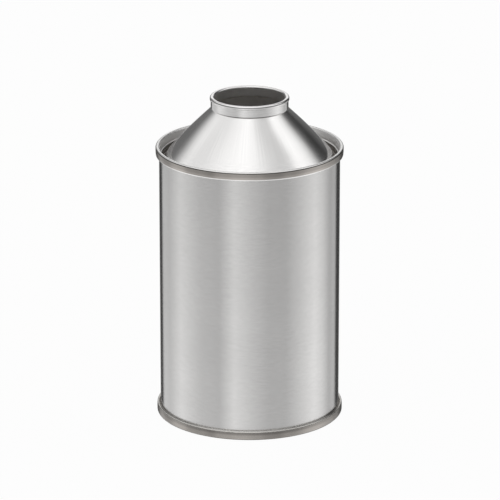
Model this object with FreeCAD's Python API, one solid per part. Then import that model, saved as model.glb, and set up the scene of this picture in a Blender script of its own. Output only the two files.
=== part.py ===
"""Cone top can: a three-piece tinplate can with a wide conical top and a short open neck.

Each piece is one sheet of tinplate. Its cross-section is drawn once as the sheet's
middle line, given its thickness, and turned about Z. The cone top and the bottom end are
each hooked to the body by a double seam: the end's edge folds round the body's edge.

Millimetres, +Z up. The origin is the middle of the can on the plane it stands on.
"""
import FreeCAD
import Part

import math
import os
from itertools import pairwise

from FreeCAD import Vector

# Driving dimensions

# Body
HEIGHT_OVER_SEAMS = 101.6    # from the bottom crest to the top crest
BODY_DIAMETER = 65.8         # outside the plain wall
BODY_SHEET = 0.22

# Double seams, the same at both ends
END_SHEET = 0.24             # both the cone top and the bottom end
SEAM_HEIGHT = 3.2
SEAM_CLEARANCE = 0.06        # between neighbouring layers
SEAM_FLARE = 0.37            # how far the wall steps out inside a seam
FLARE_HEIGHT = 0.6
FLARE_BEND = 0.4
FLARE_SETBACK = 0.1          # from the seam's lip up to where the wall starts to step out
BODY_FOLD_RADIUS = 0.12      # inside the body's folded hook
COVER_FOLD_RADIUS = 0.02     # inside an end's folded hook
BODY_HOOK = 1.7
COVER_HOOK = 2.0
LIP_BEND = 0.28              # the outer edge of the seam's lip
LIP_TAPER = 0.1              # how far the seam's outer wall closes in at its lip
LIP_TAPER_BEND = 8.0

# Groove round the foot of the cone
GROOVE_WIDTH = 1.6
GROOVE_FLAT = 0.4            # the level strip in its rounded floor
LEDGE_WIDTH = 0.4            # the small step in the groove's outer wall, by the seam's lip
LEDGE_FALL = 0.15
LEDGE_BEND = 0.22

# Cone
SHOULDER_DEPTH = 3.15        # crest to the corner between the cone and its upright foot
SHOULDER_BEND = 2.5
FOOT_HEIGHT = 2.05           # upright foot, from that corner down to the groove's floor
FOOT_ANGLE = 48.0            # steepness of the lower cone, in degrees
NECK_ANGLE = 44.0            # steepness of the upper cone, in degrees
BOW_BEND = 150.0             # where one passes into the other, halfway up

# Neck: an inner wall whose edge rolls out over the mouth and folds down as a collar
MOUTH_DIAMETER = 25.6
BEAD_WIDTH = 1.6
BEAD_HEIGHT = 1.1
BEAD_FLAT = 0.26             # the level strip on its rounded top
BEAD_OVERHANG = 0.3          # how far it stands out from the collar
NECK_HEIGHT = 4.1            # lower edge of the collar to the top of the bead
COLLAR_GAP = 0.35            # between the collar's lower edge and the cone
NECK_ROOT_BEND = 0.8
JOGGLE_HEIGHT = 0.28         # where the bead runs into the collar
JOGGLE_BEND = 0.22

# Bottom end
CHUCK_STEP_HEIGHT = 1.1      # over which the end's wall steps in, down to the plain body
CHUCK_STEP_BEND = 0.5
SINK_DEPTH = 4.4             # the ring groove that stiffens the bottom, from the crest
SINK_WIDTH = 1.9
SINK_FLAT = 0.7              # the level strip in its rounded floor
PANEL_RISE = 1.5             # the panel stands this far out of the ring groove
PANEL_BEND = 0.6
RING_DIAMETER = 46.0         # the outer edge of the raised ring in the panel
RING_WIDTH = 6.0
RING_HEIGHT = 0.5
RING_RAMP = 0.8
RING_BEND = 0.6

# Radii of the layers of a seam, as middle lines, from the body wall outwards
BODY_RADIUS = BODY_DIAMETER / 2 - BODY_SHEET / 2
LAYER_STEP = (BODY_SHEET + END_SHEET) / 2 + SEAM_CLEARANCE
SEAM_WALL_RADIUS = BODY_RADIUS + SEAM_FLARE
CHUCK_RADIUS = SEAM_WALL_RADIUS - LAYER_STEP
COVER_HOOK_RADIUS = SEAM_WALL_RADIUS + LAYER_STEP
BODY_HOOK_RADIUS = COVER_HOOK_RADIUS + LAYER_STEP
SEAM_RADIUS = BODY_HOOK_RADIUS + LAYER_STEP
INSIDE_RADIUS = BODY_RADIUS - LAYER_STEP     # an end's wall where it lines the plain body

# Bends of the middle lines in a seam
BODY_EDGE_BEND = BODY_FOLD_RADIUS + BODY_SHEET / 2
LIP_FOLD_BEND = COVER_FOLD_RADIUS + END_SHEET / 2
CREST_BEND = BODY_EDGE_BEND + LAYER_STEP

# Depths below a crest, as middle lines
CREST_DEPTH = END_SHEET / 2
BODY_EDGE_DEPTH = END_SHEET + SEAM_CLEARANCE + BODY_SHEET / 2
BODY_HOOK_TIP_DEPTH = END_SHEET + SEAM_CLEARANCE + BODY_HOOK
COVER_HOOK_TIP_DEPTH = SEAM_HEIGHT - COVER_HOOK
LIP_DEPTH = SEAM_HEIGHT - END_SHEET / 2
FLARE_DEPTH = SEAM_HEIGHT - FLARE_SETBACK    # where the plain wall ends


class Seam:
    """One double seam: where its crest stands and which way leads into the can."""

    def __init__(self, crest, inward):
        self.crest = crest
        self.inward = inward

    def level(self, depth):
        """Height of the point that lies this deep below the crest."""
        return self.crest + self.inward * depth


TOP_SEAM = Seam(HEIGHT_OVER_SEAMS, -1)
BOTTOM_SEAM = Seam(0.0, 1)


def slope(angle):
    """Rise for each unit of run, for an angle in degrees."""
    return math.tan(math.radians(angle))


# A sheet turned about Z

def corner_arc(before, corner, after, bend):
    """Start, end and centre of the arc that rounds a corner."""
    towards = (before - corner).normalize()
    onwards = (after - corner).normalize()
    half_angle = towards.getAngle(onwards) / 2
    reach = bend / math.tan(half_angle)
    start = corner + towards * reach
    end = corner + onwards * reach
    centre = corner + (towards + onwards).normalize() * (bend / math.sin(half_angle))
    return start, end, centre


def side_edges(points, offset):
    """One face of the sheet: its middle line moved sideways by an offset."""
    corners = [Vector(radius, 0, height) for radius, height, _ in points]
    arcs = [None]
    for index in range(1, len(corners) - 1):
        arcs.append(corner_arc(*corners[index - 1:index + 2], points[index][2]))
    arcs.append(None)
    edges = []
    for index, (first, second) in enumerate(pairwise(corners)):
        run = (second - first).normalize()
        aside = Vector(run.z, 0, -run.x) * offset
        start = arcs[index][1] if arcs[index] else first
        end = arcs[index + 1][0] if arcs[index + 1] else second
        edges.append(Part.LineSegment(start + aside, end + aside).toShape())
        if arcs[index + 1]:
            edges.append(bend_edge(arcs[index + 1], end + aside, offset_side(aside, arcs[index + 1])))
    return edges


def offset_side(aside, arc):
    """How the offset changes an arc's radius: outwards is positive."""
    start, _, centre = arc
    return math.copysign(aside.Length, aside.dot(start - centre))


def bend_edge(arc, first, growth):
    """The offset copy of a corner's arc."""
    start, end, centre = arc
    radius = (start - centre).Length + growth
    middle = centre + ((start + end) / 2 - centre).normalize() * radius
    last = centre + (end - centre).normalize() * radius
    return Part.Arc(first, middle, last).toShape()


def turned_sheet(points, thickness):
    """The solid of a sheet whose middle line runs through (radius, height, bend) points."""
    left = side_edges(points, thickness / 2)
    right = side_edges(points, -thickness / 2)
    caps = []
    for end in (0, -1):
        edge_pair = (left[end], right[end])
        tips = [edge.firstVertex().Point if end == 0 else edge.lastVertex().Point
                for edge in edge_pair]
        caps.append(Part.LineSegment(*tips).toShape())
    outline = Part.Wire(Part.__sortEdges__(left + caps + right))
    solid = Part.Face(outline).revolve(Vector(0, 0, 0), Vector(0, 0, 1), 360)
    return solid if solid.Volume > 0 else solid.reversed()


# The pieces

def body_edge(seam):
    """The body's hook and flare at one seam, from the hook's tip to the plain wall."""
    return [
        (BODY_HOOK_RADIUS, seam.level(BODY_HOOK_TIP_DEPTH), 0),
        (BODY_HOOK_RADIUS, seam.level(BODY_EDGE_DEPTH), BODY_EDGE_BEND),
        (SEAM_WALL_RADIUS, seam.level(BODY_EDGE_DEPTH), BODY_EDGE_BEND),
        (SEAM_WALL_RADIUS, seam.level(FLARE_DEPTH - FLARE_HEIGHT), FLARE_BEND),
        (BODY_RADIUS, seam.level(FLARE_DEPTH), FLARE_BEND),
    ]


def end_edge(seam):
    """An end's hook, outer seam wall and crest, from the hook's tip to the chuck wall."""
    return [
        (COVER_HOOK_RADIUS, seam.level(COVER_HOOK_TIP_DEPTH), 0),
        (COVER_HOOK_RADIUS, seam.level(LIP_DEPTH), LIP_FOLD_BEND),
        (SEAM_RADIUS - LIP_TAPER, seam.level(LIP_DEPTH), LIP_BEND),
        (SEAM_RADIUS, seam.level(BODY_HOOK_TIP_DEPTH), LIP_TAPER_BEND),
        (SEAM_RADIUS, seam.level(CREST_DEPTH), CREST_BEND),
        (CHUCK_RADIUS, seam.level(CREST_DEPTH), CREST_BEND),
    ]


def can_body():
    """The plain wall with a hook rolled at each end."""
    points = body_edge(BOTTOM_SEAM) + body_edge(TOP_SEAM)[::-1]
    return turned_sheet(points, BODY_SHEET)


def groove_points():
    """The groove round the cone's foot, from the chuck wall to the shoulder."""
    ledge = TOP_SEAM.level(FLARE_DEPTH)
    ledge_inner = INSIDE_RADIUS - LEDGE_WIDTH
    floor = TOP_SEAM.level(SHOULDER_DEPTH + FOOT_HEIGHT + END_SHEET / 2)
    floor_width = GROOVE_WIDTH + END_SHEET
    floor_bend = (floor_width - GROOVE_FLAT) / 2
    foot = ledge_inner - floor_width
    return [
        (INSIDE_RADIUS, ledge, LEDGE_BEND),
        (ledge_inner, ledge - LEDGE_FALL, LEDGE_BEND),
        (ledge_inner, floor, floor_bend),
        (foot, floor, floor_bend),
        (foot, TOP_SEAM.level(SHOULDER_DEPTH), SHOULDER_BEND),
    ]


def cone_and_neck_points():
    """The cone above its shoulder, the neck, the rolled bead and the collar."""
    half_sheet = END_SHEET / 2
    neck = MOUTH_DIAMETER / 2 + half_sheet
    bead = neck + BEAD_WIDTH - END_SHEET
    collar = bead - BEAD_OVERHANG
    bead_bend = (bead - neck - BEAD_FLAT) / 2

    foot, foot_height, _ = groove_points()[-1]
    bow = (foot + neck) / 2
    bow_height = foot_height + (foot - bow) * slope(FOOT_ANGLE)
    neck_foot = bow_height + (bow - neck) * slope(NECK_ANGLE)

    cone_rise = half_sheet / math.cos(math.radians(NECK_ANGLE))
    cone_at_collar = neck_foot - (collar - half_sheet - neck) * slope(NECK_ANGLE) + cone_rise
    collar_foot = cone_at_collar + COLLAR_GAP
    bead_top = collar_foot + NECK_HEIGHT - half_sheet
    bead_foot = collar_foot + NECK_HEIGHT - BEAD_HEIGHT
    return [
        (bow, bow_height, BOW_BEND),
        (neck, neck_foot, NECK_ROOT_BEND),
        (neck, bead_top, bead_bend),
        (bead, bead_top, bead_bend),
        (bead, bead_foot, JOGGLE_BEND),
        (collar, bead_foot - JOGGLE_HEIGHT, JOGGLE_BEND),
        (collar, collar_foot, 0),
    ]


def cone_top():
    """The conical end with its open neck."""
    return turned_sheet(end_edge(TOP_SEAM) + groove_points() + cone_and_neck_points(), END_SHEET)


def bottom_end():
    """The closed end: a ring groove inside the seam and a panel with a raised ring."""
    sink = BOTTOM_SEAM.level(SINK_DEPTH + END_SHEET / 2)
    sink_width = SINK_WIDTH + END_SHEET
    sink_bend = (sink_width - SINK_FLAT) / 2
    panel = sink - PANEL_RISE
    panel_edge = INSIDE_RADIUS - sink_width
    ring_outer = RING_DIAMETER / 2
    ring_inner = ring_outer - RING_WIDTH
    points = end_edge(BOTTOM_SEAM) + [
        (CHUCK_RADIUS, BOTTOM_SEAM.level(FLARE_DEPTH - CHUCK_STEP_HEIGHT), CHUCK_STEP_BEND),
        (INSIDE_RADIUS, BOTTOM_SEAM.level(FLARE_DEPTH), CHUCK_STEP_BEND),
        (INSIDE_RADIUS, sink, sink_bend),
        (panel_edge, sink, sink_bend),
        (panel_edge, panel, PANEL_BEND),
        (ring_outer, panel, RING_BEND),
        (ring_outer - RING_RAMP, panel - RING_HEIGHT, RING_BEND),
        (ring_inner + RING_RAMP, panel - RING_HEIGHT, RING_BEND),
        (ring_inner, panel, RING_BEND),
        (0, panel, 0),
    ]
    return turned_sheet(points, END_SHEET)


PIECES = {
    "can_body": can_body,
    "cone_top": cone_top,
    "bottom_end": bottom_end,
}

os.makedirs("parts", exist_ok=True)
for name, make in PIECES.items():
    piece = make()
    piece.exportStep(f"parts/{name}.step")
    box = piece.BoundBox
    print(f"{name}: valid {piece.isValid()}, {len(piece.Solids)} solid, {piece.Volume:.1f} mm3, "
          f"radius {box.XMax:.3f}, height {box.ZMin:.3f} to {box.ZMax:.3f}")
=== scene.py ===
"""Cone top can: the look of a three-piece tinplate can, each sheet in the place of its solid.

Every sheet of the can is turned about Z from one outline by a Geometry Nodes tree. Lengths
are metres, +Z is up, and the origin is the middle of the can on the plane it stands on. Named
sizes of the shape and the finish are millimetres.
"""
import math
from itertools import pairwise

import bpy
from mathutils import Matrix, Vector


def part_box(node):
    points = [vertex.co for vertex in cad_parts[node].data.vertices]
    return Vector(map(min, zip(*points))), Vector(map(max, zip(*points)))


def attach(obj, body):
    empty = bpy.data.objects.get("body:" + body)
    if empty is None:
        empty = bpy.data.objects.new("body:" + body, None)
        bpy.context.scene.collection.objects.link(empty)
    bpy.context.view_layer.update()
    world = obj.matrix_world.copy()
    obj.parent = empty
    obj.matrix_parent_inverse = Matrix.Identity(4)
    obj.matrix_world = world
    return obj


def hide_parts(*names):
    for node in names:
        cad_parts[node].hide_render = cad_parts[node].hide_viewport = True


bl_info = {
    "name": "Cone top can",
    "version": (1, 0, 0),
    "blender": (4, 5, 0),
    "location": "3D View > Sidebar > Cone Top Can",
    "description": "Builds a tinplate can with a conical top, a short open neck and its studio",
    "category": "Add Mesh",
}

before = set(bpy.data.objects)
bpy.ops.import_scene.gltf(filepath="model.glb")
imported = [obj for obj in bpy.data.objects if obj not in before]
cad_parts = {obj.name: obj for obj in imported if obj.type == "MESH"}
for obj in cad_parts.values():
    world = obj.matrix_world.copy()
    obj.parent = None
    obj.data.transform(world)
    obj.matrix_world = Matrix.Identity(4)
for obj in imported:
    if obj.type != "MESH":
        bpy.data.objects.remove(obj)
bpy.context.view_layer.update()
BODY_LOW, BODY_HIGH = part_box("can_body")
TOP_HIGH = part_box("cone_top")[1]

MM = 0.001

# Shape values that belong to how such a can is made
SEAM_CLEARANCE = 0.06        # between neighbouring layers of a seam
SEAM_FLARE = 0.37            # how far the wall steps out inside a seam
FLARE_HEIGHT = 0.6
FLARE_BEND = 0.4
FLARE_SETBACK = 0.1          # from the seam's lip up to where the wall starts to step out
BODY_FOLD_RADIUS = 0.12      # inside the body's folded hook
COVER_FOLD_RADIUS = 0.02     # inside an end's folded hook
BODY_HOOK = 1.7              # from the body's fold to the hook's tip
COVER_HOOK = 2.0             # from the seam's lip to the hook's tip
LIP_BEND = 0.28
LIP_TAPER = 0.1              # how far the seam's outer wall closes in at its lip
LIP_TAPER_BEND = 8.0
CHUCK_STEP_HEIGHT = 1.1      # of the slope between the bottom end's seam and its groove
CHUCK_STEP_BEND = 0.5
GROOVE_WIDTH = 1.6           # of the groove round the cone's foot
GROOVE_FLAT = 0.4            # level stretch of the groove's floor
LEDGE_WIDTH = 0.4            # of the ledge between the seam and the groove
LEDGE_FALL = 0.15
LEDGE_BEND = 0.22
SHOULDER_DEPTH = 3.15        # from the seam's crest down to where the slope starts
SHOULDER_BEND = 2.5
FOOT_HEIGHT = 2.05           # from the groove's floor up to where the slope starts
FOOT_ANGLE = 48.0            # steepness of the lower cone, in degrees
NECK_ANGLE = 44.0            # steepness of the upper cone, in degrees
BOW_BEND = 150.0             # where the two slopes meet
BEAD_FLAT = 0.26             # level stretch on top of the bead
BEAD_OVERHANG = 0.3          # how far the bead stands out over the collar
COLLAR_GAP = 0.35            # between the collar's lower edge and the cone
NECK_ROOT_BEND = 0.8
JOGGLE_HEIGHT = 0.28         # of the step from the bead in to the collar
JOGGLE_BEND = 0.22
SINK_DEPTH = 4.4             # of the groove in the bottom end
SINK_WIDTH = 1.9
SINK_FLAT = 0.7              # level stretch of that groove's floor
PANEL_RISE = 1.5             # from that groove's floor to the panel
PANEL_BEND = 0.6
RING_DIAMETER = 46.0         # over the ring pressed into the panel
RING_WIDTH = 6.0
RING_HEIGHT = 0.5
RING_RAMP = 0.8              # width of each of the ring's slopes
RING_BEND = 0.6

# Where the finish changes on the cone top, as distances in from the outside of the seam
SEAM_WALL = (0.35, 0.15)     # the seam's outer wall
CREST_GLOSS = (1.35, 1.05)   # from the groove's gloss to the crest's
GROOVE_OUTER = (2.05, 2.25)  # the groove's painted shade, from its outer wall
GROOVE_INNER = (4.25, 3.85)  # to the cone's foot
FOOT_GLOSS = (4.45, 3.85)    # from the slope's gloss to the groove's
FOOT_SHADE = (4.85, 4.25)     # painted shade: the slope is painted a little darker above the groove
RELIEF_END = (4.45, 5.15)    # no grain can be felt in the groove and on the seam
FOOT_LINES = (5.15, 10.15)   # from lines round the foot to lines up the slope

# Where the finish changes elsewhere
NECK_LINES = (0.1, 1.1)      # out from the bead, from lines round the neck to lines up the slope
BEAD_START = (-0.2, -0.1)    # up from the collar's lower edge, where the sheet can turn outwards
BEAD_ROLL = (0.02, 0.12)     # out from the mouth's wall, where its inner side turns outwards
LACQUER_TOP = (0.6, 0.0)     # up from the collar's lower edge, where the lacquer begins
SCUFF_TOP = (0.45, 0.6)      # down from a seam's crest, where its scuffed wall starts
SCUFF_END = (2.85, 2.65)     # down from a seam's crest, where its scuffed wall ends
SHADE_LINE_DEPTH = 0.42          # of the painted shade line, a thin dark line painted just under a crest
SHADE_LINE_REACH = 0.13          # half the width of that line
CONTACT_SHADE = (0.45, 0.2)       # up from the table, where the bottom seam's crest is painted dark as a painted contact shadow

# Grain of the tin. Real brush and mill marks are a few hundredths of a millimetre wide, too
# fine to show, so they are drawn about ten times as coarse.
BRUSH_MARK = (1 / 0.42, 1 / 0.42, 1 / 2.8)    # 2.4 long round the can, 0.36 wide up it
MILL_MARK = (1 / 0.15, 1 / 2.5, 1 / 2.5)      # 6.7 long across the panel, 0.4 wide
DRAWN_LINE = (1 / 3, 1 / 3, 1 / 3)            # up the slope, where the cone is 40 across
DRAWN_RADIUS = 20.0                           # half of that
BODY_CLOUD = (25.0, 25.0, 50 / 3)             # soft changes of gloss
CONE_CLOUD = (25 / 3, 25 / 3, 25 / 3)
SEAM_PATCH = (9.757, 9.757, 9.757)            # soft patches in the scuffed wall
GRAIN_DEPTH = 0.0004                          # of every mark, as a relief

# The part of a noise's range over which a finish goes from its first value to its second
GRAIN_CONTRAST = (0.32, 0.68)
CLOUD_CONTRAST = (0.35, 0.65)
MILL_CONTRAST = (0.3, 0.7)   # for the bottom end's roughness

# Roughness of each surface, and how dark and how light its grain is against its colour
BODY_ROUGHNESS = (0.17, 0.19)
CONE_ROUGHNESS = (0.14, 0.18)
END_ROUGHNESS = (0.26, 0.30)
GROOVE_ROUGHNESS = 0.42
SEAM_ROUGHNESS = 0.26
NECK_ROUGHNESS = 0.4         # inside the neck
LACQUER_ROUGHNESS = 0.35
LACQUER_COVER = 0.55         # how much of the metal the lacquer inside hides
BRUSHED_SPREAD = 0.98        # how much further the brushed wall spreads light up than round
BODY_TONES = (0.975, 1.02)
CONE_TONES = (0.955, 1.01)
END_TONES = (0.93, 1.0)
SEAM_TONES = (0.8, 1.08)
# Painted shade: how dark the slope above the groove and the groove itself are painted
FOOT_TONE = 0.95
GROOVE_TONE = 0.8

ARC_STEP = math.radians(9)   # longest step along a bend
LEAST_STEPS = 4              # fewest steps along a bend
RUN_END = 0.1                # how near a bend a straight run is held flat
TURNS = 256                  # steps round the can
MERGE_REACH = 0.001          # points nearer than this are one, where the turn closes
SHARP_EDGE = math.radians(35)    # a bend sharper than this keeps a hard edge


# Sizes and colours that a user would change

def to_linear(hex_value):
    """Linear RGBA for an sRGB hex value."""
    channels = []
    for start in (0, 2, 4):
        value = int(hex_value[start:start + 2], 16) / 255
        channels.append(value / 12.92 if value <= 0.04045 else ((value + 0.055) / 1.055) ** 2.4)
    return (*channels, 1.0)


def length(name, description, millimetres):
    """A length property with its default in millimetres."""
    return bpy.props.FloatProperty(name=name, description=description, unit="LENGTH",
                                   default=millimetres * MM, min=0.0)


def colour(name, description, hex_value):
    """A colour property with its default as an sRGB hex value."""
    return bpy.props.FloatVectorProperty(name=name, description=description, size=4,
                                         subtype="COLOR", min=0.0, max=1.0,
                                         default=to_linear(hex_value))


SEAM_COLOUR = to_linear("ACA7A2")      # tin dulled by the seaming rolls; made darker, it is also the groove's painted shade
PAINTED_SHADE_COLOUR = to_linear("85817D")    # painted shade: the dark line under a crest, and the crest the can stands on
INSIDE_COLOUR = to_linear("FAF8F5")    # the pale lacquer inside the can


class CanSizes(bpy.types.PropertyGroup):
    """Sizes of the can's sheets."""

    body_sheet: length("Body sheet", "Thickness of the body's tinplate", 0.22)
    end_sheet: length("End sheet", "Thickness of the cone top and the bottom end", 0.24)
    seam_height: length("Seam height", "Height of each double seam", 3.2)
    mouth: length("Mouth", "Inside diameter of the neck", 25.6)
    bead_width: length("Bead width", "Width of the rolled bead round the mouth", 1.6)
    bead_height: length("Bead height", "Height of the rolled bead", 1.1)
    neck_height: length("Neck height", "From the collar's lower edge to the top of the bead", 4.1)


class CanFinish(bpy.types.PropertyGroup):
    """Colours of the bare tinplate."""

    body_colour: colour("Body", "Brushed tinplate of the body", "DEDDDC")
    cone_colour: colour("Cone", "Drawn tinplate of the cone top", "F4F3F2")
    end_colour: colour("End", "Rolled tinplate of the bottom end", "DAD7D2")


class CanStudio(bpy.types.PropertyGroup):
    """Camera and floor."""

    camera_distance: length("Camera distance", "From the can's axis to the camera", 1400.0)
    camera_height: length("Camera height", "Above the floor", 524.9)
    camera_side: length("Camera side", "How far the camera stands to the right", 0.15)
    camera_pitch: bpy.props.FloatProperty(
        name="Camera pitch", description="How far the camera looks down", subtype="ANGLE",
        default=math.radians(18.314))
    lens: bpy.props.FloatProperty(
        name="Lens", description="Focal length in millimetres on a 36 mm sensor",
        default=290.2, min=1.0)
    floor_colour: colour("Floor", "Plain pale floor", "FEFEFE")


# Outlines

def corner_arc(before, corner, after, bend):
    """Start, end and centre of the arc that rounds a corner."""
    towards = (before - corner).normalized()
    onwards = (after - corner).normalized()
    half_angle = towards.angle(onwards) / 2
    start = corner + towards * (bend / math.tan(half_angle))
    end = corner + onwards * (bend / math.tan(half_angle))
    centre = corner + (towards + onwards).normalized() * (bend / math.sin(half_angle))
    return start, end, centre


def run_straight(line, point):
    """Takes a line straight on to a point, held flat near both ends of a long run."""
    if line:
        run = point - line[-1]
        if run.length > 3 * RUN_END:
            line += [line[-1] + run.normalized() * RUN_END, point - run.normalized() * RUN_END]
    line.append(point)


def side_points(points, offset):
    """One face of a sheet as (radius, height): its middle line moved sideways by an offset."""
    corners = [Vector((radius, height)) for radius, height, _ in points]
    found = []
    for index, corner in enumerate(corners):
        if index in (0, len(corners) - 1):
            near = corners[1] if index == 0 else corners[-2]
            run = (near - corner if index == 0 else corner - near).normalized()
            run_straight(found, corner + Vector((run.y, -run.x)) * offset)
            continue
        start, end, centre = corner_arc(corners[index - 1], corner, corners[index + 1],
                                        points[index][2])
        run = (corner - corners[index - 1]).normalized()
        aside = Vector((run.y, -run.x)) * offset
        first = start - centre
        sweep = first.angle_signed(end - centre)
        grown = first.length + math.copysign(aside.length, aside.dot(first))
        steps = max(LEAST_STEPS, math.ceil(abs(sweep) / ARC_STEP))
        for step in range(steps + 1):
            turn = -sweep * step / steps
            spoke = Vector((first.x * math.cos(turn) - first.y * math.sin(turn),
                            first.x * math.sin(turn) + first.y * math.cos(turn)))
            point = centre + spoke.normalized() * grown
            if step == 0:
                run_straight(found, point)
            else:
                found.append(point)
    return found


def sheet_outline(points, thickness):
    """The outline of a sheet from its middle line, closed unless it ends on the axis.

    It runs clockwise, so that the turned faces point outwards.
    """
    right = side_points(points, thickness / 2)
    left = side_points(points, -thickness / 2)
    outline = [(point, 0.0) for point in right] + [(point, 1.0) for point in reversed(left)]
    if points[-1][0] > 0:
        outline.append(outline[0])
    else:
        outline = outline[len(right):] + outline[:len(right)]
    turning = sum(a.x * b.y - b.x * a.y for (a, _), (b, _) in pairwise(outline))
    return outline if turning < 0 else outline[::-1]


class SeamLayers:
    """Radii and depths of the layers of both double seams, in millimetres, as middle lines."""

    def __init__(self, sizes):
        self.body_sheet = sizes.body_sheet / MM
        self.end_sheet = sizes.end_sheet / MM
        self.seam_height = sizes.seam_height / MM
        step = (self.body_sheet + self.end_sheet) / 2 + SEAM_CLEARANCE
        self.seam = TOP_HIGH.x / MM - self.end_sheet / 2
        self.body_hook = self.seam - step
        self.cover_hook = self.body_hook - step
        self.wall = self.cover_hook - step
        self.chuck = self.wall - step
        self.body = self.wall - SEAM_FLARE
        self.inside = self.body - step
        self.body_edge_bend = BODY_FOLD_RADIUS + self.body_sheet / 2
        self.lip_fold_bend = COVER_FOLD_RADIUS + self.end_sheet / 2
        self.crest_bend = self.body_edge_bend + step
        self.crest_depth = self.end_sheet / 2
        self.edge_depth = self.end_sheet + SEAM_CLEARANCE + self.body_sheet / 2
        self.hook_tip_depth = self.end_sheet + SEAM_CLEARANCE + BODY_HOOK
        self.lip_depth = self.seam_height - self.end_sheet / 2
        self.flare_depth = self.seam_height - FLARE_SETBACK
        self.top_crest = BODY_HIGH.z / MM + self.end_sheet + SEAM_CLEARANCE
        self.bottom_crest = BODY_LOW.z / MM - self.end_sheet - SEAM_CLEARANCE

    def level(self, top, depth):
        """Height of the point this deep below the crest of the top or the bottom seam."""
        return self.top_crest - depth if top else self.bottom_crest + depth

    def body_edge(self, top):
        """The body's hook and flare, from the hook's tip to the plain wall."""
        return [
            (self.body_hook, self.level(top, self.hook_tip_depth), 0),
            (self.body_hook, self.level(top, self.edge_depth), self.body_edge_bend),
            (self.wall, self.level(top, self.edge_depth), self.body_edge_bend),
            (self.wall, self.level(top, self.flare_depth - FLARE_HEIGHT), FLARE_BEND),
            (self.body, self.level(top, self.flare_depth), FLARE_BEND),
        ]

    def end_edge(self, top):
        """An end's hook, outer seam wall and crest, from the hook's tip to the chuck wall."""
        return [
            (self.cover_hook, self.level(top, self.seam_height - COVER_HOOK), 0),
            (self.cover_hook, self.level(top, self.lip_depth), self.lip_fold_bend),
            (self.seam - LIP_TAPER, self.level(top, self.lip_depth), LIP_BEND),
            (self.seam, self.level(top, self.hook_tip_depth), LIP_TAPER_BEND),
            (self.seam, self.level(top, self.crest_depth), self.crest_bend),
            (self.chuck, self.level(top, self.crest_depth), self.crest_bend),
        ]


def body_outline(sizes):
    """The plain wall with a hook rolled at each end."""
    layers = SeamLayers(sizes)
    points = layers.body_edge(False) + layers.body_edge(True)[::-1]
    return sheet_outline(points, layers.body_sheet)


def groove_points(layers):
    """The groove round the cone's foot, from the chuck wall to the shoulder."""
    ledge = layers.level(True, layers.flare_depth)
    ledge_inner = layers.inside - LEDGE_WIDTH
    floor = layers.level(True, SHOULDER_DEPTH + FOOT_HEIGHT + layers.end_sheet / 2)
    floor_width = GROOVE_WIDTH + layers.end_sheet
    floor_bend = (floor_width - GROOVE_FLAT) / 2
    foot = ledge_inner - floor_width
    return [
        (layers.inside, ledge, LEDGE_BEND),
        (ledge_inner, ledge - LEDGE_FALL, LEDGE_BEND),
        (ledge_inner, floor, floor_bend),
        (foot, floor, floor_bend),
        (foot, layers.level(True, SHOULDER_DEPTH), SHOULDER_BEND),
    ]


def cone_outline(sizes):
    """The conical end: seam, groove, cone, neck, rolled bead and collar."""
    layers = SeamLayers(sizes)
    half_sheet = layers.end_sheet / 2
    neck = sizes.mouth / MM / 2 + half_sheet
    bead = neck + sizes.bead_width / MM - layers.end_sheet
    collar = bead - BEAD_OVERHANG
    bead_bend = (bead - neck - BEAD_FLAT) / 2
    groove = groove_points(layers)

    foot, foot_height, _ = groove[-1]
    bow = (foot + neck) / 2
    bow_height = foot_height + (foot - bow) * math.tan(math.radians(FOOT_ANGLE))
    neck_slope = math.tan(math.radians(NECK_ANGLE))
    neck_foot = bow_height + (bow - neck) * neck_slope

    cone_rise = half_sheet / math.cos(math.radians(NECK_ANGLE))
    cone_at_collar = neck_foot - (collar - half_sheet - neck) * neck_slope + cone_rise
    collar_foot = cone_at_collar + COLLAR_GAP
    neck_top = collar_foot + sizes.neck_height / MM
    bead_top = neck_top - half_sheet
    bead_foot = neck_top - sizes.bead_height / MM
    return sheet_outline(layers.end_edge(True) + groove + [
        (bow, bow_height, BOW_BEND),
        (neck, neck_foot, NECK_ROOT_BEND),
        (neck, bead_top, bead_bend),
        (bead, bead_top, bead_bend),
        (bead, bead_foot, JOGGLE_BEND),
        (collar, bead_foot - JOGGLE_HEIGHT, JOGGLE_BEND),
        (collar, collar_foot, 0),
    ], layers.end_sheet)


def bottom_outline(sizes):
    """The closed end: a ring groove inside the seam and a panel with a raised ring."""
    layers = SeamLayers(sizes)
    sink = layers.level(False, SINK_DEPTH + layers.end_sheet / 2)
    sink_width = SINK_WIDTH + layers.end_sheet
    sink_bend = (sink_width - SINK_FLAT) / 2
    panel = sink - PANEL_RISE
    panel_edge = layers.inside - sink_width
    ring_outer = RING_DIAMETER / 2
    ring_inner = ring_outer - RING_WIDTH
    return sheet_outline(layers.end_edge(False) + [
        (layers.chuck, layers.level(False, layers.flare_depth - CHUCK_STEP_HEIGHT),
         CHUCK_STEP_BEND),
        (layers.inside, layers.level(False, layers.flare_depth), CHUCK_STEP_BEND),
        (layers.inside, sink, sink_bend),
        (panel_edge, sink, sink_bend),
        (panel_edge, panel, PANEL_BEND),
        (ring_outer, panel, RING_BEND),
        (ring_outer - RING_RAMP, panel - RING_HEIGHT, RING_BEND),
        (ring_inner + RING_RAMP, panel - RING_HEIGHT, RING_BEND),
        (ring_inner, panel, RING_BEND),
        (0, panel, 0),
    ], layers.end_sheet)


# Node trees

def add_node(tree, kind, inputs=None, **settings):
    """Adds a node with its settings and links.

    An input is a value, the output it is linked to, or a node whose first live output it takes.
    """
    node = tree.nodes.new(kind)
    for name, value in settings.items():
        setattr(node, name, value)
    for key, value in (inputs or {}).items():
        if isinstance(value, bpy.types.Node):
            value = next(output for output in value.outputs if output.enabled)
        if isinstance(value, bpy.types.NodeSocket):
            tree.links.new(value, node.inputs[key])
        else:
            node.inputs[key].default_value = value
    return node


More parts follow.
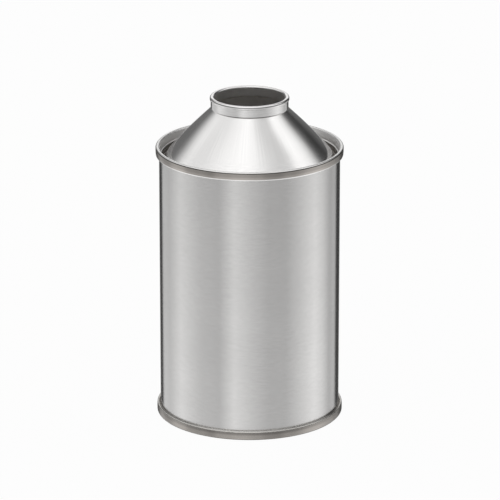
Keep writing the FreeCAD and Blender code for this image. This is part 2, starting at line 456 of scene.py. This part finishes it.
def lathe_tree():
    """A Geometry Nodes tree that turns a chain of points in the XZ plane about Z."""
    tree = bpy.data.node_groups.new("turned_sheet", "GeometryNodeTree")
    for name, kind in (("Outline", "NodeSocketGeometry"), ("Steps", "NodeSocketInt"),
                       ("Material", "NodeSocketMaterial")):
        tree.interface.new_socket(name, in_out="INPUT", socket_type=kind)
    tree.interface.new_socket("Sheet", in_out="OUTPUT", socket_type="NodeSocketGeometry")
    given = add_node(tree, "NodeGroupInput").outputs

    # A grid with a column for each step round the can and a row for each outline point
    count = add_node(tree, "GeometryNodeAttributeDomainSize", {0: given["Outline"]})
    points = count.outputs["Point Count"]
    columns = add_node(tree, "FunctionNodeIntegerMath", {0: given["Steps"], 1: 1},
                       operation="ADD")
    grid = add_node(tree, "GeometryNodeMeshGrid",
                    {"Size X": 1.0, "Size Y": 1.0, "Vertices X": columns, "Vertices Y": points})
    named = add_node(tree, "GeometryNodeStoreNamedAttribute",
                     {"Geometry": grid, "Name": "UVMap", "Value": grid.outputs["UV Map"]},
                     data_type="FLOAT2", domain="CORNER")

    # Each point of the grid goes to its outline point, turned by its column's angle
    index = add_node(tree, "GeometryNodeInputIndex")
    along = add_node(tree, "FunctionNodeIntegerMath", {0: index, 1: points},
                     operation="MODULO")
    column = add_node(tree, "FunctionNodeIntegerMath", {0: index, 1: points},
                      operation="DIVIDE")
    place = add_node(tree, "GeometryNodeInputPosition")
    taken = add_node(tree, "GeometryNodeSampleIndex",
                     {"Geometry": given["Outline"], "Value": place, "Index": along},
                     data_type="FLOAT_VECTOR", domain="POINT")
    part = add_node(tree, "ShaderNodeSeparateXYZ", {0: taken}).outputs
    share = add_node(tree, "ShaderNodeMath", {0: column, 1: given["Steps"]}, operation="DIVIDE")
    angle = add_node(tree, "ShaderNodeMath", {0: share, 1: 2 * math.pi}, operation="MULTIPLY")
    sine_of = add_node(tree, "ShaderNodeMath", {0: angle}, operation="SINE")
    cosine_of = add_node(tree, "ShaderNodeMath", {0: angle}, operation="COSINE")
    across = add_node(tree, "ShaderNodeMath", {0: part["X"], 1: sine_of}, operation="MULTIPLY")
    back = add_node(tree, "ShaderNodeMath", {0: part["X"], 1: cosine_of}, operation="MULTIPLY")
    turned = add_node(tree, "ShaderNodeCombineXYZ", {"X": across, "Y": back, "Z": part["Z"]})
    placed = add_node(tree, "GeometryNodeSetPosition", {"Geometry": named, "Position": turned})
    side = add_node(tree, "GeometryNodeInputNamedAttribute", {"Name": "inside"},
                    data_type="FLOAT")
    side_taken = add_node(tree, "GeometryNodeSampleIndex",
                          {"Geometry": given["Outline"], "Value": side, "Index": along},
                          data_type="FLOAT", domain="POINT")
    sided = add_node(tree, "GeometryNodeStoreNamedAttribute",
                     {"Geometry": placed, "Name": "inside", "Value": side_taken},
                     data_type="FLOAT", domain="POINT")

    # The seam is closed, and only true edges stay sharp
    merged = add_node(tree, "GeometryNodeMergeByDistance",
                      {"Geometry": sided, "Distance": MERGE_REACH * MM})
    smooth = add_node(tree, "GeometryNodeSetShadeSmooth",
                      {"Geometry": merged, "Shade Smooth": True}, domain="FACE")
    edge = add_node(tree, "GeometryNodeInputMeshEdgeAngle").outputs["Unsigned Angle"]
    sharp = add_node(tree, "FunctionNodeCompare", {0: edge, 1: SHARP_EDGE},
                     data_type="FLOAT", operation="GREATER_THAN")
    creased = add_node(tree, "GeometryNodeSetShadeSmooth",
                       {"Geometry": smooth, "Selection": sharp, "Shade Smooth": False},
                       domain="EDGE")
    real = add_node(tree, "GeometryNodeRealizeInstances", {0: creased})
    painted = add_node(tree, "GeometryNodeSetMaterial",
                       {"Geometry": real, "Material": given["Material"]})
    add_node(tree, "NodeGroupOutput", {0: painted})
    return tree


def turned_sheet(name, outline, material):
    """A plain mesh object for one sheet: its outline turned about Z by the lathe tree."""
    mesh = bpy.data.meshes.new(name + "_outline")
    vertices = [(point.x * MM, 0.0, point.y * MM) for point, _ in outline]
    mesh.from_pydata(vertices, [(i, i + 1) for i in range(len(vertices) - 1)], [])
    inside = mesh.attributes.new("inside", "FLOAT", "POINT")
    inside.data.foreach_set("value", [side for _, side in outline])
    chain = bpy.data.objects.new(name + "_outline", mesh)
    bpy.context.scene.collection.objects.link(chain)
    modifier = chain.modifiers.new("lathe", "NODES")
    modifier.node_group = bpy.data.node_groups.get("turned_sheet") or lathe_tree()
    socket = {item.name: item.identifier for item in modifier.node_group.interface.items_tree
              if item.in_out == "INPUT"}
    modifier[socket["Steps"]] = TURNS
    modifier[socket["Material"]] = material
    bpy.context.view_layer.update()
    evaluated = chain.evaluated_get(bpy.context.evaluated_depsgraph_get())
    piece = bpy.data.objects.new(name, bpy.data.meshes.new_from_object(evaluated))
    bpy.data.objects.remove(chain)
    bpy.data.meshes.remove(mesh)
    piece.data.name = name
    bpy.context.scene.collection.objects.link(piece)
    if enclosed_volume(piece.data) <= 0:
        raise RuntimeError(f"{name}: its faces point inwards")
    return piece


def enclosed_volume(mesh):
    """Signed volume of a closed mesh: positive where its faces point outwards."""
    mesh.calc_loop_triangles()
    total = 0.0
    for triangle in mesh.loop_triangles:
        a, b, c = (mesh.vertices[i].co for i in triangle.vertices)
        total += a.dot(b.cross(c)) / 6
    return total


# Materials

def new_material(name):
    """A material with an empty tree."""
    material = bpy.data.materials.new(name)
    material.use_nodes = True
    material.node_tree.nodes.clear()
    return material


def grain(tree, place, size, detail=3.0, radius=1.0):
    """Noise with grains of this size in millimetres along X, Y and Z.

    Where the place is a bare direction, it is taken on a circle of this radius in metres.
    """
    stretch = [radius / (side * MM) for side in size]
    scaled = add_node(tree, "ShaderNodeVectorMath", {0: place, 1: stretch}, operation="MULTIPLY")
    return add_node(tree, "ShaderNodeTexNoise",
                    {"Vector": scaled, "Scale": 1.0, "Detail": detail, "Roughness": 0.55})


def zone(tree, *edges):
    """One inside a zone and nought outside it: each soft edge is a value, its start and end."""
    steps = [add_node(tree, "ShaderNodeMapRange", {0: value, 1: start, 2: end},
                      interpolation_type="SMOOTHSTEP") for value, start, end in edges]
    inside = steps[0]
    for step in steps[1:]:
        inside = add_node(tree, "ShaderNodeMath", {0: inside, 1: step}, operation="MULTIPLY")
    return inside


def inwards(origin, distances):
    """Places in metres that lie these distances in millimetres in from an origin."""
    return [origin - distance * MM for distance in distances]


def outwards(origin, distances):
    """Places in metres that lie these distances in millimetres out from an origin."""
    return [origin + distance * MM for distance in distances]


def shade(base, factor):
    """A colour made darker or lighter."""
    return (*(min(1.0, channel * factor) for channel in base[:3]), 1.0)


def two_tone(tree, pattern, contrast, base, tones):
    """A colour that goes from a dark to a light share of its base as the pattern goes."""
    dark, light = tones
    return add_node(tree, "ShaderNodeMix",
                    {0: zone(tree, (pattern, *contrast)), 6: shade(base, dark),
                     7: shade(base, light)}, data_type="RGBA")


def tin_shader(tree, tint, roughness, coated, lines, anisotropy=0.0, turn=0.0):
    """One shader for tinplate, with its grain as a relief and lacquer where it is coated.

    The lacquer is thin and pale: it hides about half of the metal and softens what it mirrors.
    """
    colour_of = add_node(tree, "ShaderNodeMix", {0: coated, 6: tint, 7: INSIDE_COLOUR},
                         data_type="RGBA")
    metal = add_node(tree, "ShaderNodeMath", {0: coated, 1: -LACQUER_COVER, 2: 1.0},
                     operation="MULTIPLY_ADD")
    rough = add_node(tree, "ShaderNodeMix", {0: coated, 2: roughness, 3: LACQUER_ROUGHNESS},
                     data_type="FLOAT")
    relief = add_node(tree, "ShaderNodeBump",
                      {"Strength": 1.0, "Distance": GRAIN_DEPTH * MM, "Height": lines})
    tangent = add_node(tree, "ShaderNodeTangent", direction_type="UV_MAP", uv_map="UVMap")
    shader = add_node(tree, "ShaderNodeBsdfPrincipled",
                      {"Base Color": colour_of, "Metallic": metal, "Roughness": rough,
                       "Anisotropic": anisotropy, "Anisotropic Rotation": turn,
                       "Normal": relief, "Tangent": tangent})
    add_node(tree, "ShaderNodeOutputMaterial", {"Surface": shader})


def brushed_tinplate(body_colour):
    """Tinplate brushed round the body: fine level grooves run round it.

    They spread what it mirrors up and down but leave it sharp from side to side, so the
    light lies in clean upright bands with a faint level grain.
    """
    material = new_material("brushed_tinplate")
    tree = material.node_tree
    place = add_node(tree, "ShaderNodeTexCoord").outputs["Object"]
    grooves = grain(tree, place, BRUSH_MARK)
    cloud = grain(tree, place, BODY_CLOUD, 2.0)
    low, high = CLOUD_CONTRAST
    smoothest, roughest = BODY_ROUGHNESS
    roughness = add_node(tree, "ShaderNodeMapRange",
                         {0: cloud, 1: low, 2: high, 3: smoothest, 4: roughest},
                         interpolation_type="SMOOTHSTEP")
    tint = two_tone(tree, grooves, GRAIN_CONTRAST, body_colour, BODY_TONES)
    inner = add_node(tree, "ShaderNodeAttribute", attribute_name="inside").outputs["Fac"]
    # A quarter turn lays the spread across the grooves
    tin_shader(tree, tint, roughness, inner, grooves, anisotropy=BRUSHED_SPREAD, turn=0.25)
    return material


def away_from_axis(tree, place):
    """The distance from the can's axis, in metres, and the direction away from it."""
    flat = add_node(tree, "ShaderNodeVectorMath", {0: place, 1: (1, 1, 0)},
                    operation="MULTIPLY")
    distance = add_node(tree, "ShaderNodeVectorMath", {0: flat}, operation="LENGTH")
    direction = add_node(tree, "ShaderNodeVectorMath", {0: flat}, operation="NORMALIZE")
    return distance, direction


def seam_scuff_and_shade(tree, place, metal):
    """Dulls the outer wall of a seam, where the seaming rolls scuffed the tin in soft patches.

    A fine dark line just under the crest is painted shade.
    """
    distance, direction = away_from_axis(tree, place)
    middle = (BODY_HIGH.z + BODY_LOW.z) / 2
    height = add_node(tree, "ShaderNodeSeparateXYZ", {0: place}).outputs["Z"]
    from_middle = add_node(tree, "ShaderNodeMath", {0: height, 1: -middle}, operation="ADD")
    level = add_node(tree, "ShaderNodeMath", {0: from_middle}, operation="ABSOLUTE")
    outside = (distance, *inwards(TOP_HIGH.x, SEAM_WALL))
    scuffed = zone(tree, (level, *inwards(middle, SCUFF_END)),
                   (level, *inwards(middle, SCUFF_TOP)), outside)
    patches = grain(tree, direction, SEAM_PATCH, 1.0, TOP_HIGH.x)
    wear_and_shade = two_tone(tree, patches, CLOUD_CONTRAST, SEAM_COLOUR, SEAM_TONES)
    dulled = add_node(tree, "ShaderNodeMix", {0: scuffed, 6: metal, 7: wear_and_shade}, data_type="RGBA")
    # Painted shade: a fine dark line just under each crest
    mark = add_node(tree, "ShaderNodeMath",
                    {0: level, 1: middle - SHADE_LINE_DEPTH * MM, 2: SHADE_LINE_REACH * MM},
                    operation="COMPARE")
    shade_line = add_node(tree, "ShaderNodeMath", {0: mark, 1: zone(tree, outside)},
                      operation="MULTIPLY")
    return add_node(tree, "ShaderNodeMix", {0: shade_line, 6: dulled, 7: PAINTED_SHADE_COLOUR},
                    data_type="RGBA")


def inner_side(tree, height, distance, collar_foot, mouth):
    """One on the sheet's inner side, as far as the mouth's edge, where that side rolls out."""
    inner = add_node(tree, "ShaderNodeAttribute", attribute_name="inside").outputs["Fac"]
    rolled_out = zone(tree, (height, *outwards(collar_foot, BEAD_START)),
                      (distance, *outwards(mouth / 2, BEAD_ROLL)))
    return add_node(tree, "ShaderNodeMath", {0: inner, 1: rolled_out}, operation="SUBTRACT",
                    use_clamp=True)


def drawn_tinplate(cone_colour, sizes):
    """Tinplate drawn into a cone: the tool's fine lines run up the slope, and round the neck.

    They give the cone a silky gloss that is soft in every direction. The groove round its foot is
    duller, and it is painted darker as painted shade, as is the slope just above it. The neck is
    bare and dull inside, and the cone has pale lacquer there.
    """
    material = new_material("drawn_tinplate")
    tree = material.node_tree
    place = add_node(tree, "ShaderNodeTexCoord").outputs["Object"]
    height = add_node(tree, "ShaderNodeSeparateXYZ", {0: place}).outputs["Z"]
    distance, direction = away_from_axis(tree, place)
    collar_foot = TOP_HIGH.z - sizes.neck_height
    bead = sizes.mouth / 2 + sizes.bead_width
    rim = TOP_HIGH.x

    up_slope = grain(tree, direction, DRAWN_LINE, radius=DRAWN_RADIUS * MM)
    round_it = grain(tree, place, BRUSH_MARK)
    on_slope = zone(tree, (distance, *outwards(bead, NECK_LINES)),
                    (distance, *inwards(rim, FOOT_LINES)))
    lines = add_node(tree, "ShaderNodeMix", {0: on_slope, 2: round_it, 3: up_slope},
                     data_type="FLOAT")
    relief = zone(tree, (distance, *inwards(rim, RELIEF_END)))
    felt = add_node(tree, "ShaderNodeMath", {0: lines, 1: relief}, operation="MULTIPLY")

    bright = two_tone(tree, lines, GRAIN_CONTRAST, cone_colour, CONE_TONES)
    # Painted shade: the slope is painted a little darker just above the groove
    at_foot = zone(tree, (distance, *inwards(rim, FOOT_SHADE)))
    wear_and_shade = add_node(tree, "ShaderNodeMix",
                    {0: at_foot, 6: bright, 7: shade(cone_colour, FOOT_TONE)},
                    data_type="RGBA")
    # Painted shade: the groove round the cone's foot is painted darker
    in_groove = zone(tree, (distance, *inwards(rim, GROOVE_INNER)),
                     (distance, *inwards(rim, GROOVE_OUTER)))
    shaded_groove = add_node(tree, "ShaderNodeMix",
                     {0: in_groove, 6: wear_and_shade, 7: shade(SEAM_COLOUR, GROOVE_TONE)},
                     data_type="RGBA")

    cloud = grain(tree, place, CONE_CLOUD, 2.0)
    low, high = CLOUD_CONTRAST
    smoothest, roughest = CONE_ROUGHNESS
    cone_rough = add_node(tree, "ShaderNodeMapRange",
                          {0: cloud, 1: low, 2: high, 3: smoothest, 4: roughest},
                          interpolation_type="SMOOTHSTEP")
    start, end = inwards(rim, CREST_GLOSS)
    seam_rough = add_node(tree, "ShaderNodeMapRange",
                          {0: distance, 1: start, 2: end, 3: GROOVE_ROUGHNESS,
                           4: SEAM_ROUGHNESS},
                          interpolation_type="SMOOTHSTEP")
    past_foot = zone(tree, (distance, *inwards(rim, FOOT_GLOSS)))
    outer = add_node(tree, "ShaderNodeMix", {0: past_foot, 2: cone_rough, 3: seam_rough},
                     data_type="FLOAT")
    inside = inner_side(tree, height, distance, collar_foot, sizes.mouth)
    roughness = add_node(tree, "ShaderNodeMix", {0: inside, 2: outer, 3: NECK_ROUGHNESS},
                         data_type="FLOAT")
    below_neck = zone(tree, (height, *outwards(collar_foot, LACQUER_TOP)))
    coated = add_node(tree, "ShaderNodeMath", {0: inside, 1: below_neck}, operation="MULTIPLY")
    tin_shader(tree, seam_scuff_and_shade(tree, place, shaded_groove), roughness, coated, felt)
    return material


def end_tinplate(end_colour):
    """Plain rolled tinplate of the bottom end: the mill's straight lines run across the panel.

    They leave it satin, a little duller and darker than the body. The crest that the can stands
    on is painted dark, a painted contact shadow.
    """
    material = new_material("end_tinplate")
    tree = material.node_tree
    place = add_node(tree, "ShaderNodeTexCoord").outputs["Object"]
    height = add_node(tree, "ShaderNodeSeparateXYZ", {0: place}).outputs["Z"]
    lines = grain(tree, place, MILL_MARK)
    bright = two_tone(tree, lines, GRAIN_CONTRAST, end_colour, END_TONES)
    # Painted contact shadow: the crest that stands on the table is painted dark
    contact_shade = zone(tree, (height, *outwards(0.0, CONTACT_SHADE)))
    tint = add_node(tree, "ShaderNodeMix",
                    {0: contact_shade, 6: seam_scuff_and_shade(tree, place, bright), 7: PAINTED_SHADE_COLOUR},
                    data_type="RGBA")
    low, high = MILL_CONTRAST
    smoothest, roughest = END_ROUGHNESS
    roughness = add_node(tree, "ShaderNodeMapRange",
                         {0: lines, 1: low, 2: high, 3: smoothest, 4: roughest},
                         interpolation_type="SMOOTHSTEP")
    # This sheet's outline runs the other way, so the side marked as inside is the outer one
    outer = add_node(tree, "ShaderNodeAttribute", attribute_name="inside").outputs["Fac"]
    inner = add_node(tree, "ShaderNodeMath", {0: 1.0, 1: outer}, operation="SUBTRACT")
    tin_shader(tree, tint, roughness, inner, lines)
    return material


# Pieces

def dress(name, node, outline, material):
    """Builds one sheet and puts it in the place of its solid."""
    piece = turned_sheet(name, outline, material)
    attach(piece, "root")
    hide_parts(node)


class CAN_OT_body(bpy.types.Operator):
    """Build the brushed body with its hooks"""

    bl_idname = "can.body"
    bl_label = "Can Body"

    def execute(self, context):
        scene = context.scene
        dress("body_wall", "can_body", body_outline(scene.can_sizes),
              brushed_tinplate(scene.can_finish.body_colour))
        return {"FINISHED"}


class CAN_OT_cone_top(bpy.types.Operator):
    """Build the conical end with its neck"""

    bl_idname = "can.cone_top"
    bl_label = "Cone Top"

    def execute(self, context):
        scene = context.scene
        dress("cone_and_neck", "cone_top", cone_outline(scene.can_sizes),
              drawn_tinplate(scene.can_finish.cone_colour, scene.can_sizes))
        return {"FINISHED"}


class CAN_OT_bottom_end(bpy.types.Operator):
    """Build the closed end under the can"""

    bl_idname = "can.bottom_end"
    bl_label = "Bottom End"

    def execute(self, context):
        scene = context.scene
        dress("closed_end", "bottom_end", bottom_outline(scene.can_sizes),
              end_tinplate(scene.can_finish.end_colour))
        return {"FINISHED"}


# Light round the can as a level for each bearing, in degrees from the camera's side and
# positive to the right: what upright walls mirror, what the sloping cone mirrors, and the dim
# room between the two.
LOW_LIGHT = [
    (-180, 0.63), (-172, 0.51), (-165, 0.06), (-150, 0.05), (-147.5, 0.67), (-125, 0.61),
    (-100, 0.87), (-65, 0.63), (-40, 0.575), (-33, 0.68), (-20, 0.87), (5, 0.68), (25, 0.55),
    (48, 0.54), (70, 0.735), (93, 0.95), (108, 0.81), (125, 0.50), (143, 0.60), (146, 0.05),
    (165, 0.06), (172, 0.51), (180, 0.63),
]
HIGH_LIGHT = [
    (-180, 0.45), (-162, 0.45), (-152, 0.50), (-145, 0.53), (-136, 0.66), (-126, 0.86),
    (-118, 0.92), (-108, 0.82), (-95, 0.82), (-70, 0.97), (-45, 1.07), (-20, 1.12), (0, 1.10),
    (20, 1.00), (45, 0.79), (65, 0.67), (79, 0.65), (86, 0.75), (95, 1.10), (106, 1.12),
    (116, 0.95), (123, 0.64), (128, 0.28), (132, 0.14), (140, 0.08), (152, 0.08), (162, 0.35),
    (180, 0.45),
]
HORIZON_LIGHT = [
    (-180, 0.15), (-130, 0.14), (-110, 0.05), (145, 0.04), (160, 0.13), (180, 0.15),
]
OVERHEAD_LIGHT = 1.05            # behind the can, above what the camera's side mirrors

# Where the light changes, in degrees above the horizon
LOW_EDGE = (-8, -3)              # from the low light to the dim room
HIGH_EDGE = (12, 33)             # from the dim room to the high light
BACKDROP_EDGE = (8, 12)          # the white backdrop behind the can starts
OVERHEAD_EDGE = (46, 58)         # the overhead light starts

# Where the light changes, as the part of a direction that points straight back
FRONT_EDGE = (-0.1, 0.4)         # on the camera's side the high light starts further up
FRONT_RISE = 0.1                 # by this much of a direction's height
BACKDROP_SIDE = (0.87, 0.93)
OVERHEAD_SIDE = (0.05, 0.30)

# Below the horizon the low light grows downwards, past its own level at this angle, to a limit
FLOOR_ANGLE = -18
FLOOR_GAIN = 3.4
FLOOR_LIMIT = 1.4

RAMP_LIMIT = 2.0                 # a ramp's colours stop at 1, so each stands for this much
FLOOR_REACH = 6.0                # metres from the can to the floor's edges
FLOOR_GLOW = 0.97                # how much of the floor glows white and takes no shadow


def grey(level):
    """The ramp's colour for a light level."""
    return (level / RAMP_LIMIT, level / RAMP_LIMIT, level / RAMP_LIMIT, 1.0)


def light_ramp(tree, share, levels):
    """A colour ramp over a full turn with a grey for each bearing."""
    ramp = add_node(tree, "ShaderNodeValToRGB", {0: share})
    stops = ramp.color_ramp.elements
    while len(stops) > 1:
        stops.remove(stops[0])
    stops[0].position = levels[0][0] / 360 + 0.5
    stops[0].color = grey(levels[0][1])
    for bearing, level in levels[1:]:
        stops.new(bearing / 360 + 0.5).color = grey(level)
    return ramp


def rise(degrees):
    """The height of a direction at each of these angles above the horizon."""
    return [math.sin(math.radians(angle)) for angle in degrees]


def studio_world():
    """Soft light from all round: panels for what the can mirrors, white for the camera.

    Bare metal is seen by what it mirrors, so the dim parts behind the can on both sides draw
    its dark edges. Straight behind it, the metal mirrors the camera's white too.
    """
    world = bpy.data.worlds.new("studio")
    world.use_nodes = True
    tree = world.node_tree
    tree.nodes.clear()
    direction = add_node(tree, "ShaderNodeTexCoord").outputs["Generated"]
    part = add_node(tree, "ShaderNodeSeparateXYZ", {0: direction}).outputs
    up = part["Z"]
    back = part["Y"]
    front = add_node(tree, "ShaderNodeMath", {0: back, 1: -1.0}, operation="MULTIPLY")
    bearing = add_node(tree, "ShaderNodeMath", {0: part["X"], 1: front}, operation="ARCTAN2")
    share = add_node(tree, "ShaderNodeMapRange",
                     {0: bearing, "From Min": -math.pi, "From Max": math.pi})
    low = light_ramp(tree, share, LOW_LIGHT)
    high = light_ramp(tree, share, HIGH_LIGHT)
    dim = light_ramp(tree, share, HORIZON_LIGHT)

    # Below the horizon the low light stands in for the floor
    own_level, = rise([FLOOR_ANGLE])
    growth = add_node(tree, "ShaderNodeMath",
                      {0: up, 1: -FLOOR_GAIN, 2: FLOOR_GAIN * own_level},
                      operation="MULTIPLY_ADD")
    brighter = add_node(tree, "ShaderNodeMath", {0: growth}, operation="EXPONENT")
    limited = add_node(tree, "ShaderNodeMath", {0: brighter, 1: FLOOR_LIMIT},
                       operation="MINIMUM")
    floor_light = add_node(tree, "ShaderNodeVectorMath", {0: low, "Scale": limited},
                           operation="SCALE")
    lower = add_node(tree, "ShaderNodeMix",
                     {0: zone(tree, (up, *rise(LOW_EDGE))), 6: floor_light, 7: dim},
                     data_type="RGBA")

    start, end = FRONT_EDGE
    shift = add_node(tree, "ShaderNodeMapRange",
                     {0: back, 1: start, 2: end, 3: FRONT_RISE, 4: 0.0},
                     interpolation_type="SMOOTHSTEP")
    shifted = add_node(tree, "ShaderNodeMath", {0: up, 1: shift}, operation="SUBTRACT")
    upper = add_node(tree, "ShaderNodeMix",
                     {0: zone(tree, (shifted, *rise(HIGH_EDGE))), 6: lower, 7: high},
                     data_type="RGBA")
    overhead = zone(tree, (up, *rise(OVERHEAD_EDGE)), (back, *OVERHEAD_SIDE))
    level = add_node(tree, "ShaderNodeMix",
                     {0: overhead, 6: upper, 7: grey(OVERHEAD_LIGHT)}, data_type="RGBA")
    panels = add_node(tree, "ShaderNodeBackground", {"Color": level, "Strength": RAMP_LIMIT})
    white = add_node(tree, "ShaderNodeBackground", {"Color": (1, 1, 1, 1), "Strength": 1.0})

    rays = add_node(tree, "ShaderNodeLightPath").outputs
    mirrored = add_node(tree, "ShaderNodeMath",
                        {0: rays["Is Glossy Ray"], 1: rays["Is Transmission Ray"]},
                        operation="MAXIMUM")
    backdrop = zone(tree, (up, *rise(BACKDROP_EDGE)), (back, *BACKDROP_SIDE))
    behind_can = add_node(tree, "ShaderNodeMath", {0: mirrored, 1: backdrop},
                          operation="MULTIPLY")
    seen = add_node(tree, "ShaderNodeMath", {0: rays["Is Camera Ray"], 1: behind_can},
                    operation="MAXIMUM")
    mixed = add_node(tree, "ShaderNodeMixShader", {0: seen, 1: panels, 2: white})
    add_node(tree, "ShaderNodeOutputWorld", {"Surface": mixed})
    bpy.context.scene.world = world


def white_sweep(floor_colour):
    """Matt white paper, lit from behind so that it runs out to white.

    It is dimmed a little under the can.
    """
    material = new_material("white_sweep")
    tree = material.node_tree
    paper = add_node(tree, "ShaderNodeBsdfDiffuse", {"Color": floor_colour})
    glow = add_node(tree, "ShaderNodeEmission", {"Color": floor_colour, "Strength": 1.0})
    mixed = add_node(tree, "ShaderNodeMixShader", {0: FLOOR_GLOW, 1: paper, 2: glow})
    add_node(tree, "ShaderNodeOutputMaterial", {"Surface": mixed})
    return material


class CAN_OT_studio(bpy.types.Operator):
    """Set up the floor, the light and the camera"""

    bl_idname = "can.studio"
    bl_label = "Studio"

    def execute(self, context):
        studio = context.scene.can_studio
        studio_world()
        corners = [(x * FLOOR_REACH, y * FLOOR_REACH, 0.0)
                   for x, y in ((-1, -1), (1, -1), (1, 1), (-1, 1))]
        mesh = bpy.data.meshes.new("floor")
        mesh.from_pydata(corners, [], [(0, 1, 2, 3)])
        mesh.materials.append(white_sweep(studio.floor_colour))
        floor = bpy.data.objects.new("floor", mesh)
        # The low light reaches the can through the floor, which it stands in for
        floor.visible_glossy = False
        floor.visible_shadow = False
        context.scene.collection.objects.link(floor)
        data = bpy.data.cameras.new("camera")
        data.sensor_width = 36.0
        data.lens = studio.lens
        data.clip_end = 20.0
        camera = bpy.data.objects.new("camera", data)
        camera.location = (studio.camera_side, -studio.camera_distance, studio.camera_height)
        camera.rotation_euler = (math.pi / 2 - studio.camera_pitch, 0.0, 0.0)
        context.scene.collection.objects.link(camera)
        context.scene.camera = camera
        context.scene.view_settings.view_transform = "Standard"
        return {"FINISHED"}


class CAN_PT_panel(bpy.types.Panel):
    """Lists the can's pieces, sizes and colours"""

    bl_idname = "CAN_PT_panel"
    bl_label = "Cone Top Can"
    bl_space_type = "VIEW_3D"
    bl_region_type = "UI"
    bl_category = "Cone Top Can"

    def draw(self, context):
        for group in (context.scene.can_sizes, context.scene.can_finish,
                      context.scene.can_studio):
            box = self.layout.box()
            for name in group.__annotations__:
                box.prop(group, name)
        for operator in OPERATORS:
            self.layout.operator(operator.bl_idname)


OPERATORS = (CAN_OT_body, CAN_OT_cone_top, CAN_OT_bottom_end, CAN_OT_studio)
GROUPS = {"can_sizes": CanSizes, "can_finish": CanFinish, "can_studio": CanStudio}


def register():
    """Makes the properties, operators and panel known to Blender."""
    for name, group in GROUPS.items():
        bpy.utils.register_class(group)
        setattr(bpy.types.Scene, name, bpy.props.PointerProperty(type=group))
    for item in (*OPERATORS, CAN_PT_panel):
        bpy.utils.register_class(item)


def unregister():
    """Takes them away again."""
    for item in reversed((*OPERATORS, CAN_PT_panel)):
        bpy.utils.unregister_class(item)
    for name, group in GROUPS.items():
        delattr(bpy.types.Scene, name)
        bpy.utils.unregister_class(group)


def main():
    """Builds the can and its studio."""
    register()
    bpy.ops.can.body()
    bpy.ops.can.cone_top()
    bpy.ops.can.bottom_end()
    bpy.ops.can.studio()


if __name__ == "__main__":
    main()
